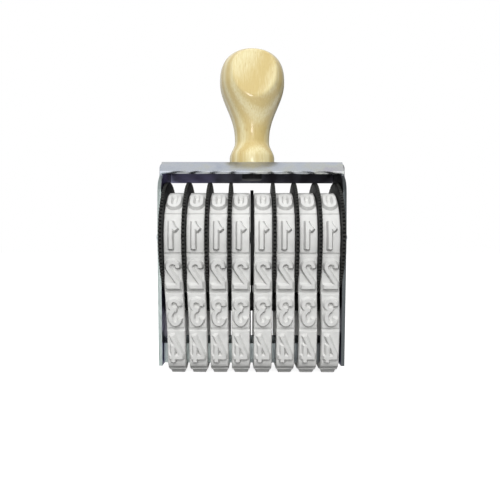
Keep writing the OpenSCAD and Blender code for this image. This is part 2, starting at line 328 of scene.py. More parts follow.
def violet_zinc_inside():
    """The same zinc inside the bend, where the passivation film is thicker: darker, blue to violet; painted
    darker towards +X, as shade.
    """
    material, tree, place = new_material("violet_zinc_inside")
    split = add(tree, "ShaderNodeSeparateXYZ", {"Vector": place})
    film = add(tree, "ShaderNodeTexNoise", {"Vector": place, "Scale": per(11 * MM), "Detail": 4.0})
    # Towards the foot it is lighter and more violet
    down = add(tree, "ShaderNodeMapRange", {
        "Value": split.outputs["Z"], "From Min": 0.0, "From Max": 70 * MM, "To Min": 0.75, "To Max": 0.0})
    mixed = add(tree, "ShaderNodeMath", {
        0: film.outputs["Fac"], 1: down.outputs["Result"]}, operation="ADD")
    # Towards +X it is painted darker, as shade: the violet fades to a dark grey
    side = add(tree, "ShaderNodeMapRange", {
        "Value": split.outputs["X"], "From Min": -WALL_OUT, "From Max": WALL_OUT,
        "To Min": 0.2, "To Max": -0.6})
    shade = add(tree, "ShaderNodeMath", {
        0: mixed.outputs["Value"], 1: side.outputs["Result"]}, operation="ADD")
    tint = add(tree, "ShaderNodeValToRGB", {"Fac": shade.outputs["Value"]}, stops=(
        (0.05, solid("#38373F")), (0.35, solid("#62636F")), (0.6, solid("#74728E")),
        (0.85, solid("#7C76A0")), (1.0, solid("#8682A6"))))
    cloud = add(tree, "ShaderNodeTexNoise", {"Vector": place, "Scale": per(2 * MM), "Detail": 5.0})
    rough = add(tree, "ShaderNodeMapRange", {
        "Value": cloud.outputs["Fac"], "From Min": 0.3, "From Max": 0.7, "To Min": 0.28, "To Max": 0.45})
    return finished(material, cloud.outputs["Fac"], 0.1, 0.02 * MM, {
        "Base Color": tint.outputs["Color"], "Metallic": 1.0, "Roughness": rough.outputs["Result"]})


def dull_zinc():
    """Zinc plated on a shear's rough break or on pickled sheet: greyer, with its shine blurred."""
    material, tree, place = new_material("dull_zinc")
    split = add(tree, "ShaderNodeSeparateXYZ", {"Vector": place})
    # Towards +X it is painted darker and greyer, as shade
    side = add(tree, "ShaderNodeMapRange", {
        "Value": split.outputs["X"], "From Min": -WALL_OUT, "From Max": WALL_OUT,
        "To Min": 0.0, "To Max": 0.7})
    # Shearing and drawing leave upright lines about 0.2 mm apart and 5 mm long
    lines = add(tree, "ShaderNodeMapping", {
        "Vector": place, "Scale": (per(0.2 * MM), per(0.2 * MM), per(5 * MM))})
    streak = add(tree, "ShaderNodeTexNoise", {
        "Vector": lines.outputs["Vector"], "Scale": 1.0, "Detail": 2.0})
    shade = add(tree, "ShaderNodeMath", {
        0: streak.outputs["Fac"], 1: side.outputs["Result"]}, operation="ADD")
    tint = add(tree, "ShaderNodeValToRGB", {"Fac": shade.outputs["Value"]}, stops=(
        (0.3, solid("#AEB8B6")), (0.6, solid("#98A19F")), (0.95, solid("#6B7071")),
        (1.0, solid("#54585A"))))
    return finished(material, streak.outputs["Fac"], 0.2, 0.03 * MM, {
        "Base Color": tint.outputs["Color"], "Metallic": 1.0, "Roughness": 0.42})


def drawn_steel():
    """Bright drawn steel rod: grey, with fine rings left by the cutting tool."""
    material, tree, place = new_material("drawn_steel")
    lines = add(tree, "ShaderNodeMapping", {
        "Vector": place, "Scale": (per(0.2 * MM), per(6 * MM), per(6 * MM))})
    rings = add(tree, "ShaderNodeTexNoise", {
        "Vector": lines.outputs["Vector"], "Scale": 1.0, "Detail": 3.0})
    tint = add(tree, "ShaderNodeValToRGB", {"Fac": rings.outputs["Fac"]}, stops=(
        (0.3, solid("#8D9094")), (0.7, solid("#A6A8AA"))))
    return finished(material, rings.outputs["Fac"], 0.2, 0.02 * MM, {
        "Base Color": tint.outputs["Color"], "Metallic": 1.0, "Roughness": 0.3})


def blackened_steel():
    """Steel screw, near black as painted shade for the hollow under the roof: charcoal with a dull sheen,
    paler patches.
    """
    material, tree, place = new_material("blackened_steel")
    cloud = add(tree, "ShaderNodeTexNoise", {"Vector": place, "Scale": per(1.5 * MM), "Detail": 4.0})
    tint = add(tree, "ShaderNodeValToRGB", {"Fac": cloud.outputs["Fac"]}, stops=(
        (0.35, solid("#0E0E11")), (0.7, solid("#1A1A1E"))))
    return finished(material, cloud.outputs["Fac"], 0.2, 0.03 * MM, {
        "Base Color": tint.outputs["Color"], "Roughness": 0.75, "IOR": 1.5})


def moulded_black_acetal(colour):
    """Black acetal, injection moulded: satin charcoal, paler at the rim from thumb wear and a painted
    highlight.
    """
    material, tree, place = new_material("moulded_black_acetal")
    from_axle = add(tree, "ShaderNodeVectorMath", {0: place, 1: (0, 0, AXLE_Z)}, operation="SUBTRACT")
    across = add(tree, "ShaderNodeVectorMath", {
        0: from_axle.outputs["Vector"], 1: (0, 1, 1)}, operation="MULTIPLY")
    radius = add(tree, "ShaderNodeVectorMath", {0: across.outputs["Vector"]}, operation="LENGTH")
    # Paler towards the rim: partly thumb wear, partly a painted highlight of the tooth tips catching light
    rubbed = add(tree, "ShaderNodeMapRange", {
        "Value": radius.outputs["Value"], "From Min": RIM_R - 0.55 * MM, "From Max": RIM_R - 0.05 * MM,
        "To Min": 0.0, "To Max": 0.13})
    cloud = add(tree, "ShaderNodeTexNoise", {"Vector": place, "Scale": per(1.2 * MM), "Detail": 4.0})
    patch = add(tree, "ShaderNodeMapRange", {
        "Value": cloud.outputs["Fac"], "From Min": 0.35, "From Max": 0.65, "To Min": 0.5, "To Max": 1.0})
    worn = add(tree, "ShaderNodeMath", {
        0: rubbed.outputs["Result"], 1: patch.outputs["Result"]}, operation="MULTIPLY")
    tint = add(tree, "ShaderNodeMix", {
        0: worn.outputs["Value"], 6: (*colour, 1.0), 7: solid("#8C8D88")}, data_type="RGBA")
    rough = add(tree, "ShaderNodeMapRange", {
        "Value": cloud.outputs["Fac"], "From Min": 0.3, "From Max": 0.7, "To Min": 0.46, "To Max": 0.62})
    return finished(material, cloud.outputs["Fac"], 0.15, 0.03 * MM, {
        "Base Color": tint.outputs[2], "Roughness": rough.outputs["Result"], "IOR": 1.48,
        "Specular IOR Level": 0.16})


def dusted_grey_rubber(colour):
    """Pale grey rubber, moulded and dusted with talc: matt, with faint cloudy mottling and fine specks."""
    material, tree, place = new_material("dusted_grey_rubber")
    darker = [0.93 * c for c in colour]
    paler = [min(1.0, 1.04 * c) for c in colour]
    mottle = add(tree, "ShaderNodeTexNoise", {"Vector": place, "Scale": per(2.2 * MM), "Detail": 4.0})
    tint = add(tree, "ShaderNodeValToRGB", {"Fac": mottle.outputs["Fac"]}, stops=(
        (0.3, (*darker, 1.0)), (0.5, (*colour, 1.0)), (0.72, (*paler, 1.0))))
    # Specks of dust and moulding pits are under 0.1 mm; they are drawn at 0.3 mm so that they show
    pits = add(tree, "ShaderNodeTexNoise", {"Vector": place, "Scale": per(0.3 * MM), "Detail": 2.0})
    rough = add(tree, "ShaderNodeMapRange", {
        "Value": mottle.outputs["Fac"], "From Min": 0.3, "From Max": 0.7, "To Min": 0.52, "To Max": 0.7})
    bump = add(tree, "ShaderNodeBump", {
        "Height": pits.outputs["Fac"], "Strength": 0.18, "Distance": 0.03 * MM})
    shader = add(tree, "ShaderNodeBsdfPrincipled", {
        "Base Color": tint.outputs["Color"], "Roughness": rough.outputs["Result"], "IOR": 1.5,
        "Normal": bump.outputs["Normal"]})
    # Soft rubber 2 mm thick lets a little light through, which lightens the inside of the loops
    through = add(tree, "ShaderNodeBsdfTranslucent", {"Color": tint.outputs["Color"]})
    both = add(tree, "ShaderNodeMixShader", {0: 0.2, 1: shader.outputs["BSDF"], 2: through.outputs["BSDF"]})
    add(tree, "ShaderNodeOutputMaterial", {"Surface": both.outputs["Shader"]})
    return material


def lacquered_beech(pale, dark):
    """Beech, turned and clear lacquered: straw yellow, upright grain, short dark flecks, a gloss coat."""
    material, tree, place = new_material("lacquered_beech")
    # The knob is cut from the side of a log, so the growth rings are arcs about a distant pith, drawn out
    # along the grain. A wave texture of scale 1 repeats every 0.314
    wave_length = 0.314
    pith = add(tree, "ShaderNodeMapping", {
        "Vector": place, "Location": (14 * MM, -46 * MM, 0), "Scale": (1.0, 1.0, 0.16)})
    rings = add(tree, "ShaderNodeTexWave", {
        "Vector": pith.outputs["Vector"], "Scale": wave_length * per(3.1 * MM), "Distortion": 2.4,
        "Detail": 2.0, "Detail Scale": 0.35, "Detail Roughness": 0.55},
        wave_type="RINGS", rings_direction="Z", wave_profile="SIN")
    # Streaks of fibres run along Z. Real ones are under 0.1 mm wide; these are drawn 0.35 mm wide and 9 mm
    # long so that they show
    fibre = add(tree, "ShaderNodeMapping", {
        "Vector": place, "Scale": (per(0.35 * MM), per(0.35 * MM), per(9 * MM))})
    fibres = add(tree, "ShaderNodeTexNoise", {
        "Vector": fibre.outputs["Vector"], "Scale": 1.0, "Detail": 3.0})
    both = add(tree, "ShaderNodeMath", {
        0: rings.outputs["Fac"], 1: 0.55, 2: fibres.outputs["Fac"]}, operation="MULTIPLY_ADD")
    wood = add(tree, "ShaderNodeValToRGB", {"Fac": both.outputs["Value"]}, stops=(
        (0.35, (*pale, 1.0)), (1.0, (*dark, 1.0))))
    # Beech's flecks are dark dashes 2 mm long. Real ones are 0.1 mm wide, these 0.3 mm so that they show
    dash = add(tree, "ShaderNodeMapping", {
        "Vector": place, "Scale": (per(0.3 * MM), per(0.3 * MM), per(2.0 * MM))})
    flecks = add(tree, "ShaderNodeTexNoise", {
        "Vector": dash.outputs["Vector"], "Scale": 1.0, "Detail": 1.0})
    marks = add(tree, "ShaderNodeMapRange", {
        "Value": flecks.outputs["Fac"], "From Min": 0.64, "From Max": 0.74, "To Min": 0.0, "To Max": 0.4})
    colour = add(tree, "ShaderNodeMix", {
        0: marks.outputs["Result"], 6: wood.outputs["Color"], 7: solid("#A88450")}, data_type="RGBA")
    # The lacquer was dipped and ran a little: its skin is wavy over some millimetres
    waves = add(tree, "ShaderNodeTexNoise", {"Vector": place, "Scale": per(3.5 * MM), "Detail": 2.0})
    skin = add(tree, "ShaderNodeBump", {
        "Height": waves.outputs["Fac"], "Strength": 0.3, "Distance": 0.5 * MM})
    return finished(material, fibres.outputs["Fac"], 0.06, 0.03 * MM, {
        "Base Color": colour.outputs[2], "Roughness": 0.42, "IOR": 1.5, "Coat Weight": 0.9,
        "Coat Roughness": 0.16, "Coat IOR": 1.5, "Coat Normal": skin.outputs["Normal"]})


def pale_table():
    """Matt white card: nearly white to the camera and in reflections, shadow kept; else a dark grey."""
    material, tree, place = new_material("pale_table")
    path = add(tree, "ShaderNodeLightPath")
    # The card's real tooth is under 0.2 mm; it is drawn at 1.5 mm so that it shows
    tooth = add(tree, "ShaderNodeTexNoise", {"Vector": place, "Scale": per(1.5 * MM), "Detail": 3.0})
    bump = add(tree, "ShaderNodeBump", {
        "Height": tooth.outputs["Fac"], "Strength": 0.05, "Distance": 0.02 * MM})
    card = add(tree, "ShaderNodeBsdfDiffuse", {"Color": grey(0.34), "Normal": bump.outputs["Normal"]})
    bounce = add(tree, "ShaderNodeBsdfDiffuse", {"Color": grey(0.1)})
    glow = add(tree, "ShaderNodeEmission", {"Color": grey(1.0), "Strength": 0.87})
    seen = add(tree, "ShaderNodeAddShader", {0: glow.outputs["Emission"], 1: card.outputs["BSDF"]})
    looks = add(tree, "ShaderNodeMath", {
        0: path.outputs["Is Camera Ray"], 1: path.outputs["Is Glossy Ray"]}, operation="MAXIMUM")
    either = add(tree, "ShaderNodeMixShader", {
        0: looks.outputs["Value"], 1: bounce.outputs["BSDF"], 2: seen.outputs["Shader"]})
    add(tree, "ShaderNodeOutputMaterial", {"Surface": either.outputs["Shader"]})
    return material


# ---------------------------------------------------------------- meshes

def new_piece(name, data, material, body, replaced, smooth_below=35):
    """Makes a piece from mesh data: shades it, paints it, seats it on its body in its CAD nodes' place."""
    piece = bpy.data.objects.new(name, data)
    bpy.context.scene.collection.objects.link(piece)
    if material.name not in data.materials:
        data.materials.append(material)
    data.shade_smooth()
    data.set_sharp_from_angle(angle=math.radians(smooth_below))
    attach(piece, body)
    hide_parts(*replaced)
    return piece


def softened(node, edge):
    """A copy of a CAD node's mesh with its facets joined and its sharp edges rounded."""
    weld = 0.002 * MM
    nearly_flat = math.radians(0.3)
    sharp_from = math.radians(30)
    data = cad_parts[node].data.copy()
    data.materials.clear()
    work = bmesh.new()
    work.from_mesh(data)
    bmesh.ops.remove_doubles(work, verts=work.verts, dist=weld)
    bmesh.ops.dissolve_limit(work, angle_limit=nearly_flat, verts=work.verts, edges=work.edges)
    bmesh.ops.recalc_face_normals(work, faces=work.faces)
    sharp = [e for e in work.edges if len(e.link_faces) == 2 and e.calc_face_angle() > sharp_from]
    bmesh.ops.bevel(
        work, geom=sharp, offset=edge, offset_type="OFFSET", segments=3, profile=0.5,
        affect="EDGES", clamp_overlap=True)
    for face in work.faces:
        face.material_index = 0
    work.to_mesh(data)
    work.free()
    return data


# ---------------------------------------------------------------- digits

def arc(cx, cy, rx, ry, start, end):
    """Points on an ellipse's arc from start to end degrees, about 20 degrees apart."""
    step = 20
    count = max(2, round(abs(end - start) / step) + 1)
    turns = np.radians(np.linspace(start, end, count))
    return [(cx + rx * math.cos(a), cy + ry * math.sin(a)) for a in turns]


def digit_strokes(number, wide, high, cut):
    """Middle lines of a digit as it prints, about its centre, in shares of wide, high and cut.

    wide and high are half the lines' width and height, and cut is half a stroke.
    """
    low_y = -0.43 * high
    low_r = high + low_y
    bowl = wide * 0.97
    top = high - bowl
    if number == 0:
        # The 0 is cut shorter than the others
        top = 0.5 * high - bowl
        return [arc(0, top, wide, wide, 0, 180) + arc(0, bowl - high, wide, wide, 180, 360) + [(wide, top)]]
    if number == 1:
        stem = 0.34 * wide
        flag = [(stem, 1.02 * high), (stem - 0.33 * wide, 0.76 * high), (stem - 0.67 * wide, 0.55 * high),
                (stem - 1.04 * wide, 0.4 * high)]
        return [[(stem, -high - cut), (stem, high + cut)], flag]
    if number == 2:
        hook = arc(0, top, wide, bowl, 188, -37)
        return [hook + [(-1.75 * wide, -high - cut)], [(-wide - cut, -high), (wide + cut, -high)]]
    if number == 3:
        return [arc(0, top, wide, bowl, 188, -62) + [(-0.3 * wide, 0.19 * high)],
                arc(0, low_y, wide, low_r, 72, -168)]
    if number == 4:
        return [[(0.8 * wide, high + cut), (-1.1 * wide, -0.61 * high)],
                [(-wide - cut, -0.71 * high), (wide + cut, -0.71 * high)],
                [(0.62 * wide, 0.32 * high), (0.62 * wide, -high - cut)]]
    if number == 5:
        return [[(-wide - cut, high), (0.95 * wide + cut, high)],
                [(-wide, high), (-wide, 0.12 * high)],
                arc(0, low_y, wide, low_r, 142, -168)]
    if number == 6:
        return [arc(0, low_y, wide, low_r, 180, -180),
                [(-wide, low_y), (-wide, top * 0.6)] + arc(0, top, wide, bowl, 180, 12)]
    if number == 7:
        return [[(-wide - cut, high), (wide + cut, high)],
                [(0.98 * wide, high), (-0.42 * wide, -high - cut)]]
    if number == 8:
        up_r = 0.46 * high
        return [arc(0, high - up_r, 0.9 * wide, up_r, 0, 360),
                arc(0, low_y - 0.02 * high, wide, low_r, 0, 360)]
    # The 9 is a 6 turned upside down
    turned = digit_strokes(6, wide, high, cut)
    return [[(-x, -y) for x, y in stroke] for stroke in turned]


def digit_distance(number, x, y, sizes):
    """Signed distance from points to a digit's printing face, mirrored as it stands on the band."""
    half = sizes.stroke / 2
    wide = sizes.face_width / 2 - half
    high = sizes.face_height / 2 - half
    nearest = np.full(x.shape, FAR)
    for stroke in digit_strokes(number, wide, high, half):
        for (ax, ay), (bx, by) in zip(stroke, stroke[1:]):
            length = math.hypot(bx - ax, by - ay)
            ux, uy = (bx - ax) / length, (by - ay) / length
            px, py = -x - ax, y - ay
            beyond = np.abs(px * ux + py * uy - length / 2) - length / 2
            aside = np.abs(py * ux - px * uy) - half
            outside = np.hypot(np.maximum(beyond, 0), np.maximum(aside, 0))
            nearest = np.minimum(nearest, outside + np.minimum(np.maximum(beyond, aside), 0))
        for ax, ay in stroke[1:-1]:
            nearest = np.minimum(nearest, np.hypot(-x - ax, y - ay) - half)
    limit = np.maximum(np.abs(x) - sizes.face_width / 2, np.abs(y) - sizes.face_height / 2)
    return np.maximum(nearest, limit)


def cell_points(number, x, y, flat_y, sizes):
    """Places and heights of one cell's points. Points near a wall's top or foot are moved onto it."""
    away = np.full(x.shape, FAR)
    if number is not None:
        away = digit_distance(number, x, y, sizes)
        tiny = 0.01 * MM
        reach = 0.088 * MM
        # Where the distance's slope is well under 1, two walls meet and there is no clear way to move
        clear_slope = 0.7
        dx = (digit_distance(number, x + tiny, y, sizes) - away) / tiny
        dy = (digit_distance(number, x, y + tiny, sizes) - away) / tiny
        crisp = np.hypot(dx, dy) > clear_slope
        for contour in (0, sizes.draft):
            near = crisp & (np.abs(away - contour) < reach)
            x = np.where(near, x - (away - contour) * dx, x)
            y = np.where(near, y - (away - contour) * dy, y)
            away = np.where(near, contour, away)
    digit = 1 - np.clip(away / sizes.draft, 0, 1)
    # The plinth ends about 1 mm short of the next one, and a little short of the band's edges
    margin = 0.15 * MM
    plinth_half = 5.93 * MM
    plinth_lift = 0.27 * MM
    soft = 0.12 * MM
    inside = np.minimum(BAND_W / 2 - margin - np.abs(x), plinth_half - np.abs(flat_y - plinth_lift))
    plate = np.clip(inside / soft + 0.5, 0, 1)
    floor = sizes.thickness - sizes.plinth * (1 - plate)
    return x, y, floor + (sizes.thickness + sizes.relief - floor) * digit


class BandLoop:
    """The band's inner line: a drum circle and two saddle corners joined by straight runs."""

    def __init__(self, sizes):
        self.seat = BAND_REACH - sizes.thickness - sizes.relief + sizes.stand_off
        # Round the drum the band keeps its length along its cords, which lie outside its inner line
        self.bend = self.seat + sizes.cord
        self.corner = sizes.corner
        seat_gap = 0.05 * MM
        self.corner_y = SADDLE_HALF + seat_gap - sizes.corner
        self.low = sizes.thickness + sizes.relief
        self.corner_z = self.low + sizes.corner
        rise = AXLE_Z - self.corner_z
        reach = math.hypot(self.corner_y, rise)
        self.lean = math.asin((self.seat - self.corner) / reach) - math.atan(self.corner_y / rise)
        self.corner_end = self.corner_y + self.corner * (math.pi / 2 - self.lean)
        self.run_end = self.corner_end + math.sqrt(reach ** 2 - (self.seat - self.corner) ** 2)
        self.half = self.run_end + self.bend * (math.pi / 2 + self.lean)

    def signed_length(self, s, out):
        """Length along the surface at out, from bottom centre to s, on the front half or just past it."""
        t = np.abs(s)
        corner_turn = (np.clip(t, self.corner_y, self.corner_end) - self.corner_y) / self.corner
        on_drum = np.maximum(t - self.run_end, 0)
        return np.sign(s) * (t + out * corner_turn + on_drum * ((self.seat + out) / self.bend - 1))

    def point(self, s, out):
        """Y and Z of the points at s along the front half and out from it, wrapped round the whole loop."""
        whole = np.mod(s + 2 * self.half, 2 * self.half)
        back = whole > self.half
        t = np.where(back, 2 * self.half - whole, whole)
        turn = (t - self.corner_y) / self.corner
        along = t - self.corner_end
        rise = (t - self.run_end) / self.bend - self.lean
        sin_l, cos_l = math.sin(self.lean), math.cos(self.lean)
        wide = self.corner + out
        parts = [t < self.corner_y, t < self.corner_end, t < self.run_end]
        y = np.select(parts, [
            -t,
            -self.corner_y - wide * np.sin(turn),
            -self.corner_y - wide * cos_l - along * sin_l,
        ], -(self.seat + out) * np.cos(rise))
        z = np.select(parts, [
            self.low - out,
            self.corner_z - wide * np.cos(turn),
            self.corner_z - wide * sin_l + along * cos_l,
        ], AXLE_Z + (self.seat + out) * np.sin(rise))
        return np.where(back, -y, y), z


def cell_rows(k, loop, sizes):
    """Middle of cell k along the loop and its rows' distances from there. The blank takes what is left."""
    share = np.arange(CELL_ROWS) / CELL_ROWS - 0.5
    if k == BLANK_CELL:
        length = 2 * loop.half - (CELLS - 1) * sizes.cell
        return (BLANK_CELL - 0.5) * sizes.cell + length / 2, share * length
    if k > BLANK_CELL:
        return (k - CELLS) * sizes.cell, share * sizes.cell
    return k * sizes.cell, share * sizes.cell


def band_mesh(sizes):
    """One rubber band about x = 0: digits and plinths outside, smooth inside, outer edges bevelled."""
    loop = BandLoop(sizes)
    columns = 38
    samples = 2001
    edge = 0.15 * MM
    x_row = np.concatenate([
        [-BAND_W / 2], np.linspace(-BAND_W / 2 + edge, BAND_W / 2 - edge, columns), [BAND_W / 2]])
    outer, s_rows = [], []
    for k in range(CELLS):
        middle, y_row = cell_rows(k, loop, sizes)
        y0, x0 = np.meshgrid(y_row, x_row, indexing="ij")
        # The digits count down from the saddle towards the front, and go on past the blank
        number = None if k == BLANK_CELL else (LOWEST_DIGIT - k + (k > BLANK_CELL)) % 10
        # A digit keeps its height where the band bends, so its shape follows the length at its face
        face = sizes.thickness + sizes.relief
        centre = middle + sizes.lift
        steps = np.linspace(-sizes.cell, sizes.cell, samples)
        lengths = loop.signed_length(centre + steps, face) - loop.signed_length(np.array([centre]), face)
        v = np.interp(y0 - sizes.lift, steps, lengths)
        flat_y = np.zeros(y0.shape) if number is None else y0
        x, v, out = cell_points(number, x0, v, flat_y, sizes)
        y = y0 if number is None else np.interp(v, lengths, steps) + sizes.lift
        out[:, [0, -1]] -= edge
        by, bz = loop.point(middle + y, out)
        outer.append(np.stack([x, by, bz], -1))
        s_rows.append(middle + y_row)
    outer = np.concatenate(outer)
    s_rows = np.concatenate(s_rows)
    rows, width = outer.shape[:2]
    iy, iz = loop.point(s_rows, np.zeros(rows))
    inner = np.stack([np.stack([np.full(rows, side * BAND_W / 2), iy, iz], -1) for side in (-1, 1)], 1)
    points = np.concatenate([outer.reshape(-1, 3), inner.reshape(-1, 3)])
    row = np.arange(rows)
    after = (row + 1) % rows
    near, far = row[:, None] * width, after[:, None] * width
    column = np.arange(width - 1)[None, :]
    quads = np.stack([near + column, near + column + 1, far + column + 1, far + column], -1).reshape(-1, 4)
    left, left_after = rows * width + 2 * row, rows * width + 2 * after
    sides = np.concatenate([
        np.stack([left, near[:, 0], far[:, 0], left_after], -1),
        np.stack([near[:, 0] + width - 1, left + 1, left_after + 1, far[:, 0] + width - 1], -1),
        np.stack([left + 1, left, left_after, left_after + 1], -1)])
    data = bpy.data.meshes.new("rubber_band")
    data.from_pydata(points.tolist(), [], split_quads(quads, points) + sides.tolist())
    data.validate()
    return data


def wave(t):
    """Rises smoothly from 0 to 1."""
    return 0.5 - 0.5 * np.cos(math.pi * t)


def split_quads(quads, points):
    """The flat quads as they are, and of the others the two triangles along the flatter diagonal."""
    nearly_flat = 0.004 * MM
    # Keeps a quad with no area from dividing by zero
    least = 1e-20
    a, b, c, d = [points[quads[:, i]] for i in range(4)]
    normal = np.cross(c - a, d - b)
    normal /= np.linalg.norm(normal, axis=1, keepdims=True) + least
    flat = np.abs(np.sum(normal * (b - a), axis=1)) < nearly_flat

    def agree(p, q):
        """Cosine of the angle between two triangles' normals."""
        return np.sum(p * q, axis=1) / (np.linalg.norm(p, axis=1) * np.linalg.norm(q, axis=1) + least)

    first = agree(np.cross(b - a, c - a), np.cross(c - a, d - a))
    second = agree(np.cross(b - a, d - a), np.cross(c - b, d - b))
    one = quads[~flat & (first > second)]
    two = quads[~flat & (first <= second)]
    triangles = np.concatenate([one[:, [0, 1, 2]], one[:, [0, 2, 3]], two[:, [0, 1, 3]], two[:, [1, 2, 3]]])
    return quads[flat].tolist() + triangles.tolist()


def sway(data, front, back):
    """Moves the slack lower end of a band sideways: by front on the reader's side and by back behind."""
    taut_above = 34 * MM
    slack_over = 20 * MM
    places = np.empty(len(data.vertices) * 3)
    data.vertices.foreach_get("co", places)
    places = places.reshape(-1, 3)
    slack = wave(np.clip((taut_above - places[:, 2]) / slack_over, 0, 1))
    behind = wave(np.clip(places[:, 1] / (2 * SADDLE_HALF) + 0.5, 0, 1))
    places[:, 0] += slack * (front * (1 - behind) + back * behind)
    data.vertices.foreach_set("co", places.ravel())


# ---------------------------------------------------------------- handle

def turned_radius(z, sizes):
    """Radius of the turned handle at height z over the frame."""
    dome_power, swell_power = 2.55, 1.165
    top = np.clip((z - sizes.belly) / (HANDLE_H - sizes.belly), 0, 1)
    dome = KNOB_R * (1 - top ** dome_power) ** (1 / dome_power)
    up = np.clip((z - sizes.neck) / (sizes.belly - sizes.neck), 0, 1)
    swell = sizes.neck_radius + (KNOB_R - sizes.neck_radius) * wave(up ** swell_power)
    down = np.clip((sizes.neck - z) / (sizes.neck - sizes.foot), 0, 1)
    flare = sizes.neck_radius + (sizes.foot_radius - sizes.neck_radius) * wave(down)
    return np.where(z > sizes.belly, dome, np.where(z > sizes.neck, swell, flare))


def handle_mesh(sizes):
    """The turned handle with its screw hole and its thumb flat, whose edge is slightly rounded."""
    around = 288
    rings = 250
    bore = 2.0 * MM
    bore_top = 22.8 * MM
    foot_edge = 0.3 * MM
    flat_above = 12 * MM
    rounding = 0.4 * MM
    # The flat is cut only on the side that it faces, and clear of the bore and of the crown's middle
    facing = 0.1
    least_facing = 0.05
    bore_clear = 3 * MM
    height = sizes.foot + (HANDLE_H - sizes.foot) * np.sin(np.linspace(0, math.pi / 2, rings + 1))[:-1]
    bevel = np.linspace(0, math.pi / 2, 4)
    profile_r = np.concatenate([
        [bore, bore], sizes.foot_radius - foot_edge * (1 - np.sin(bevel)), turned_radius(height, sizes)])
    profile_z = np.concatenate([[bore_top, 0.0], foot_edge * (1 - np.cos(bevel)), height])
    turn = np.arange(around) / around * 2 * math.pi
    r = np.repeat(profile_r[:, None], around, 1)
    z = np.repeat(profile_z[:, None], around, 1)
    # The flat faces -Y, turned a little to the right, and leans back
    lean = sizes.flat_lean
    face = sizes.flat_at * math.cos(lean) + sizes.belly * math.sin(lean)
    towards = np.cos(turn - sizes.flat_turn)[None, :]
    cut_r = (face - z * math.sin(lean)) / (np.maximum(towards, least_facing) * math.cos(lean))
    blend = np.clip(rounding - np.abs(r - cut_r), 0, None)
    cut = np.minimum(r, cut_r) - blend ** 2 / (4 * rounding)
    r = np.where((towards > facing) & (z > flat_above) & (r > bore_clear), cut, r)
    x = r * np.sin(turn)[None, :]
    y = -r * np.cos(turn)[None, :]
    points = np.stack([x, y, ROOF_Z + z], -1).reshape(-1, 3).tolist()
    count = len(profile_r)
    faces = []
    for i in range(count - 1):
        for j in range(around):
            k = (j + 1) % around
            faces.append((i * around + j, i * around + k, (i + 1) * around + k, (i + 1) * around + j))
    points += [[0, 0, ROOF_Z + bore_top], [0, 0, ROOF_Z + HANDLE_H]]
    low, high = len(points) - 2, len(points) - 1
    for j in range(around):
        k = (j + 1) % around
        faces.append((low, k, j))
        faces.append((high, (count - 1) * around + j, (count - 1) * around + k))
    data = bpy.data.meshes.new("turned_handle")
    data.from_pydata(points, [], faces)
    work = bmesh.new()
    work.from_mesh(data)
    bmesh.ops.recalc_face_normals(work, faces=work.faces)
    work.to_mesh(data)
    work.free()
    return data


# ---------------------------------------------------------------- operators

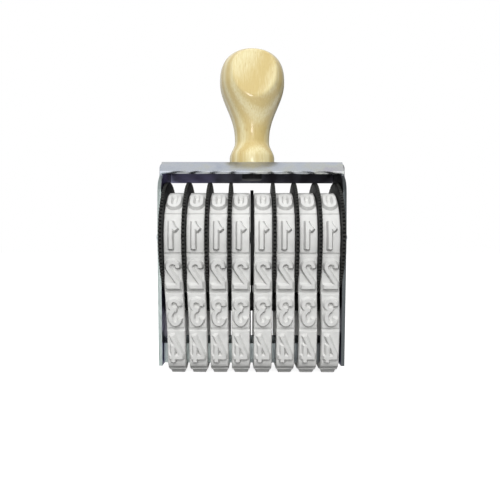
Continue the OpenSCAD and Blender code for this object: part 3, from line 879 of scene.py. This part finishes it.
class NUMBERING_STAMP_OT_stage(Operator):
    """Makes the table, the studio lights and the camera"""

    bl_idname = "numbering_stamp.stage"
    bl_label = "Stage"

    def execute(self, context):
        stage = context.scene.stamp_stage
        self.lay_table()
        self.light_world(context.scene)
        self.hang_lights(context.scene, stage)
        self.set_camera(context.scene, stage)
        context.scene.view_settings.view_transform = "Standard"
        return {"FINISHED"}

    def lay_table(self):
        """A round table top far wider than the view, just clear of the stamp."""
        radius = 6.0
        gap = 0.02 * MM
        data = bpy.data.meshes.new("table")
        work = bmesh.new()
        bmesh.ops.create_circle(work, cap_ends=True, segments=96, radius=radius)
        work.to_mesh(data)
        work.free()
        table = bpy.data.objects.new("table", data)
        table.location.z = CAD_LOW.z - gap
        data.materials.append(pale_table())
        bpy.context.scene.collection.objects.link(table)

    def light_world(self, scene):
        """White to the camera; to other rays a soft sky, brighter overhead, to the left and behind."""
        world = bpy.data.worlds.new("studio")
        world.use_nodes = True
        scene.world = world
        tree = world.node_tree
        tree.nodes.clear()
        direction = add(tree, "ShaderNodeTexCoord").outputs["Generated"]
        split = add(tree, "ShaderNodeSeparateXYZ", {"Vector": direction})
        sky = add(tree, "ShaderNodeValToRGB", {"Fac": split.outputs["Z"]}, stops=(
            (0.0, grey(0.28)), (0.35, grey(0.48)), (1.0, grey(0.75))))
        side = add(tree, "ShaderNodeMapRange", {
            "Value": split.outputs["X"], "From Min": -1.0, "From Max": 1.0, "To Min": 1.2, "To Max": 0.95})
        rear = add(tree, "ShaderNodeMapRange", {
            "Value": split.outputs["Y"], "From Min": 0.0, "From Max": 1.0, "To Min": 1.0, "To Max": 2.2})
        gain = add(tree, "ShaderNodeMath", {
            0: side.outputs["Result"], 1: rear.outputs["Result"]}, operation="MULTIPLY")
        soft_sky = add(tree, "ShaderNodeVectorMath", {
            0: sky.outputs["Color"], 1: gain.outputs["Value"]}, operation="MULTIPLY")
        # Polished parts see a room that is bright overhead and to the left and dark to the right
        room = add(tree, "ShaderNodeMapRange", {
            "Value": split.outputs["X"], "From Min": -0.25, "From Max": 0.25,
            "To Min": 0.75, "To Max": 0.2})
        above = add(tree, "ShaderNodeMapRange", {
            "Value": split.outputs["Z"], "From Min": 0.3, "From Max": 0.8, "To Min": 0.0, "To Max": 1.0})
        seen = add(tree, "ShaderNodeMix", {
            0: above.outputs["Result"], 6: room.outputs["Result"], 7: grey(0.85)}, data_type="RGBA")
        path = add(tree, "ShaderNodeLightPath")
        shine = add(tree, "ShaderNodeMix", {
            0: path.outputs["Is Glossy Ray"], 6: soft_sky.outputs["Vector"], 7: seen.outputs[2]},
            data_type="RGBA")
        soft = add(tree, "ShaderNodeBackground", {"Color": shine.outputs[2], "Strength": 1.0})
        white = add(tree, "ShaderNodeBackground", {"Color": grey(1.0), "Strength": 1.0})
        mix = add(tree, "ShaderNodeMixShader", {
            0: path.outputs["Is Camera Ray"], 1: soft.outputs["Background"],
            2: white.outputs["Background"]})
        add(tree, "ShaderNodeOutputWorld", {"Surface": mix.outputs["Shader"]})

    def hang_lights(self, scene, stage):
        """A wide softbox above and behind the camera, kept out of reflections, and a narrow upright one."""
        # Name, power, place, the point that it faces, width and height in metres, seen in reflections
        plans = (
            ("key_softbox", stage.key, (-0.02, -0.49, 0.35), (0, 0, 0.05), (0.40, 0.26), False),
            ("small_softbox", stage.spark, (0.0, -0.62, 0.04), (0, 0, 0.06), (0.1, 0.26), True),
        )
        for name, power, place, target, size, shines in plans:
            light = bpy.data.lights.new(name, "AREA")
            light.shape = "RECTANGLE"
            light.size, light.size_y = size
            light.energy = power
            lamp = bpy.data.objects.new(name, light)
            lamp.location = place
            lamp.visible_glossy = shines
            lamp.rotation_euler = (Vector(target) - Vector(place)).to_track_quat("-Z", "Y").to_euler()
            scene.collection.objects.link(lamp)

    def set_camera(self, scene, stage):
        """A level camera just below the axle's height."""
        camera = bpy.data.objects.new("camera", bpy.data.cameras.new("camera"))
        camera.data.sensor_width = 36
        camera.data.lens = stage.focal
        camera.data.clip_start = 0.01
        camera.data.clip_end = 50
        camera.location = (-stage.aside, -stage.distance, stage.height)
        camera.rotation_euler = (math.pi / 2, stage.roll, 0)
        scene.collection.objects.link(camera)
        scene.camera = camera


class NUMBERING_STAMP_OT_bands(Operator):
    """Makes the eight rubber bands with their raised, mirrored digits"""

    bl_idname = "numbering_stamp.bands"
    bl_label = "Rubber bands"

    def execute(self, context):
        sizes = context.scene.stamp_bands
        material = dusted_grey_rubber(sizes.rubber)
        shape = band_mesh(sizes)
        for n in range(1, BANDS + 1):
            data = shape.copy()
            data.transform(Matrix.Translation((box_middle(f"band_{n}").x, 0, 0)))
            sway(data, SWAY_FRONT[n - 1] * MM, SWAY_BACK[n - 1] * MM)
            new_piece(
                f"rubber_band_{n}", data, material, STAND, [f"band_{n}"], smooth_below=28)
        bpy.data.meshes.remove(shape)
        return {"FINISHED"}


class NUMBERING_STAMP_OT_wheels(Operator):
    """Makes the eight toothed thumb wheels and the disc between them"""

    bl_idname = "numbering_stamp.wheels"
    bl_label = "Thumb wheels"

    def execute(self, context):
        sizes = context.scene.stamp_metal
        material = moulded_black_acetal(sizes.plastic)
        for n in range(1, BANDS + 1):
            data = softened(f"wheel_{n}", sizes.tooth_edge)
            new_piece(f"thumb_wheel_{n}", data, material, f"thumb_{n}", [f"wheel_{n}"])
        for node in ("divider_disc", "spacer_tube"):
            data = softened(node, sizes.tooth_edge)
            new_piece(f"moulded_{node}", data, material, STAND, [node])
        return {"FINISHED"}


class NUMBERING_STAMP_OT_frame(Operator):
    """Makes the bent frame and the saddle"""

    bl_idname = "numbering_stamp.frame"
    bl_label = "Frame and saddle"

    def execute(self, context):
        sizes = context.scene.stamp_metal
        outside = bright_zinc_sheet(sizes.zinc)
        finishes = (outside, violet_zinc_inside(), dull_zinc())
        for node in ("frame", "saddle"):
            data = softened(node, sizes.sheet_edge)
            for material in finishes:
                data.materials.append(material)
            self.paint(node, data)
            new_piece(f"bent_{node}", data, outside, STAND, [node])
        return {"FINISHED"}

    def paint(self, node, data):
        """Inside finish for faces that look into the frame, dull for saddle and the plates' cut edges."""
        bright, inside, dull = range(3)
        sheet = 1.2 * MM
        well_inside = WALL_OUT - 0.8 * sheet
        lip_z = ROOF_Z - 4.6 * MM
        sideways = 0.8
        downwards = -0.3
        for face in data.polygons:
            middle, normal = face.center, face.normal
            wall = (abs(middle.x) < well_inside and normal.x * middle.x < 0
                    and abs(normal.x) > sideways)
            # The lips' cut edges look outwards, so they aren't counted as the roof's underside
            roof = middle.z > lip_z and normal.z < downwards and normal.y * middle.y < 0.1 * MM
            cut = middle.z < lip_z and abs(normal.x) < sideways
            if cut or node == "saddle":
                face.material_index = dull
            elif wall or roof:
                face.material_index = inside
            else:
                face.material_index = bright


class NUMBERING_STAMP_OT_hardware(Operator):
    """Makes the axle, its caps, the tie rod, the washers and the handle's screw"""

    bl_idname = "numbering_stamp.hardware"
    bl_label = "Axle and fasteners"

    def execute(self, context):
        sizes = context.scene.stamp_metal
        steel = drawn_steel()
        zinc = bpy.data.materials.get("bright_zinc_sheet") or bright_zinc_sheet(sizes.zinc)
        plans = (
            ("axle", steel, "steel"), ("tie_rod", steel, "steel"),
            # The screw's near-black steel is painted shade for the hollow under the roof
            ("handle_screw", blackened_steel(), "steel"),
            ("axle_caps", zinc, "zinc_plate"), ("end_washers", zinc, "zinc_plate"),
            ("handle_washer", zinc, "zinc_plate"),
        )
        for node, material, slot in plans:
            data = softened(node, sizes.small_edge)
            new_piece(f"turned_{node}", data, material, STAND, [node])
        return {"FINISHED"}


class NUMBERING_STAMP_OT_handle(Operator):
    """Makes the turned wooden handle with its thumb flat"""

    bl_idname = "numbering_stamp.handle"
    bl_label = "Handle"

    def execute(self, context):
        sizes = context.scene.stamp_handle
        data = handle_mesh(sizes)
        material = lacquered_beech(sizes.pale, sizes.dark)
        new_piece("turned_handle", data, material, STAND, ["handle"], smooth_below=60)
        return {"FINISHED"}


class NUMBERING_STAMP_PT_panel(Panel):
    """Lists the stamp's parts and their settings"""

    bl_idname = "NUMBERING_STAMP_PT_panel"
    bl_label = "Numbering Stamp"
    bl_space_type = "VIEW_3D"
    bl_region_type = "UI"
    bl_category = "Stamp"

    def draw(self, context):
        for group, operators in GROUPS.items():
            box = self.layout.box()
            settings = getattr(context.scene, group)
            for name in settings.__annotations__:
                box.prop(settings, name)
            for operator in operators:
                box.operator(operator.bl_idname)


GROUPS = {
    "stamp_stage": (NUMBERING_STAMP_OT_stage,),
    "stamp_metal": (NUMBERING_STAMP_OT_frame, NUMBERING_STAMP_OT_hardware, NUMBERING_STAMP_OT_wheels),
    "stamp_handle": (NUMBERING_STAMP_OT_handle,),
    "stamp_bands": (NUMBERING_STAMP_OT_bands,),
}
SETTINGS = {
    "stamp_stage": StageSettings,
    "stamp_metal": MetalSettings,
    "stamp_handle": HandleSettings,
    "stamp_bands": BandSettings,
}
OPERATORS = [operator for operators in GROUPS.values() for operator in operators]
CLASSES = (*SETTINGS.values(), *OPERATORS, NUMBERING_STAMP_PT_panel)


def register():
    """Registers the classes and hangs the settings on the scene."""
    for item in CLASSES:
        bpy.utils.register_class(item)
    for name, settings in SETTINGS.items():
        setattr(bpy.types.Scene, name, PointerProperty(type=settings))


def unregister():
    """Takes the settings and the classes away again."""
    for name in SETTINGS:
        delattr(bpy.types.Scene, name)
    for item in reversed(CLASSES):
        bpy.utils.unregister_class(item)


def main():
    """Builds the stage and every piece."""
    register()
    bpy.ops.numbering_stamp.stage()
    bpy.ops.numbering_stamp.frame()
    bpy.ops.numbering_stamp.hardware()
    bpy.ops.numbering_stamp.wheels()
    bpy.ops.numbering_stamp.handle()
    bpy.ops.numbering_stamp.bands()


if __name__ == "__main__":
    main()
